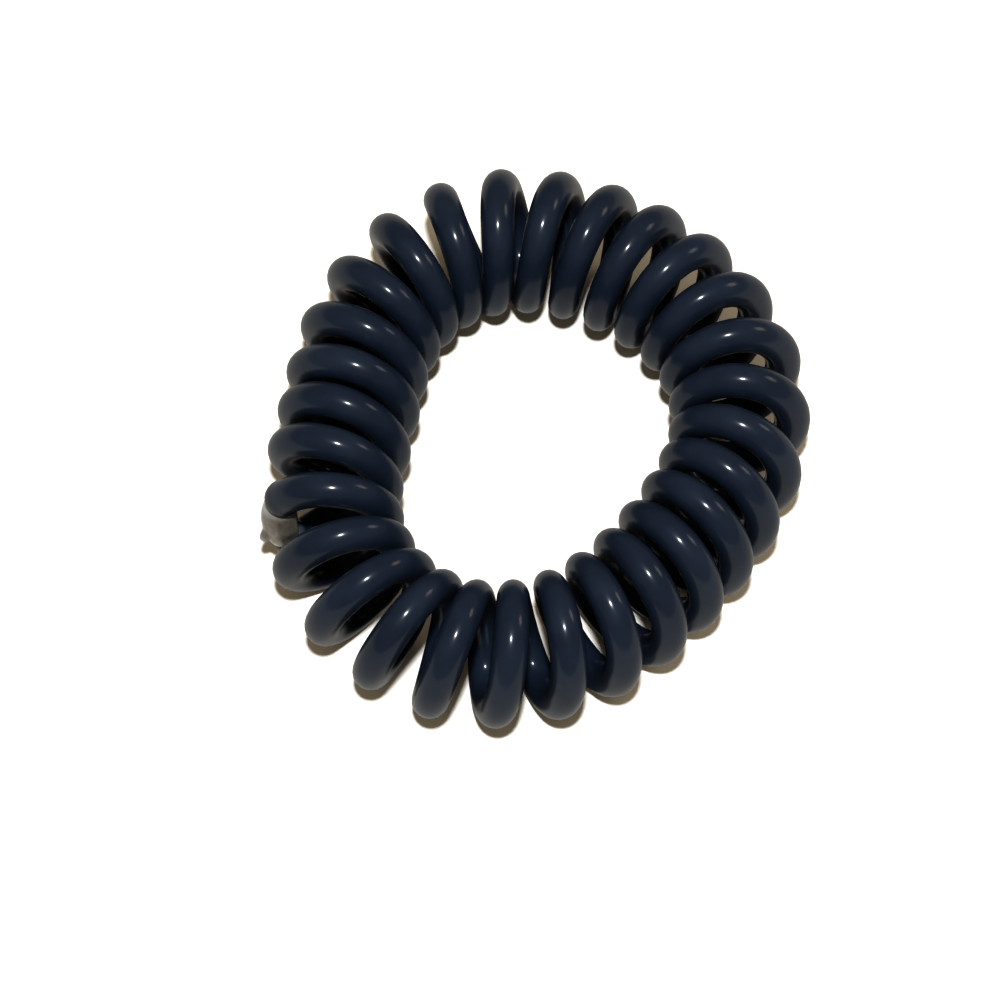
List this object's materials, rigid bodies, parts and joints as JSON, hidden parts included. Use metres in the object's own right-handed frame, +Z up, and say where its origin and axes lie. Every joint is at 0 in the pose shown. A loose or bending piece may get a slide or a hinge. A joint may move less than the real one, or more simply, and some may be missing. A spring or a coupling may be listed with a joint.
{
  "type": "spiral hair tie",
  "caption": "Ring-shaped hair tie of one dark navy plastic strand wound into a coil, its ends joined by a small milky weld, with an open hole for hair or a wrist.",
  "frame": {"origin": "middle of the ring, at the surface it lies on", "axes": "+Z up through the hole of the ring; the ring lies in X and Y, with the weld on its -X side and the picture taken from above the -Y side"},
  "size_m": [0.0493, 0.0526, 0.0156],
  "materials": {
    "strand": "dark navy soft plastic with a wet gloss",
    "weld": "milky, half-clear melted plastic"
  },
  "bodies": {
    "root": {"coil": "strand", "weld": "weld"}
  },
  "joints": []
}
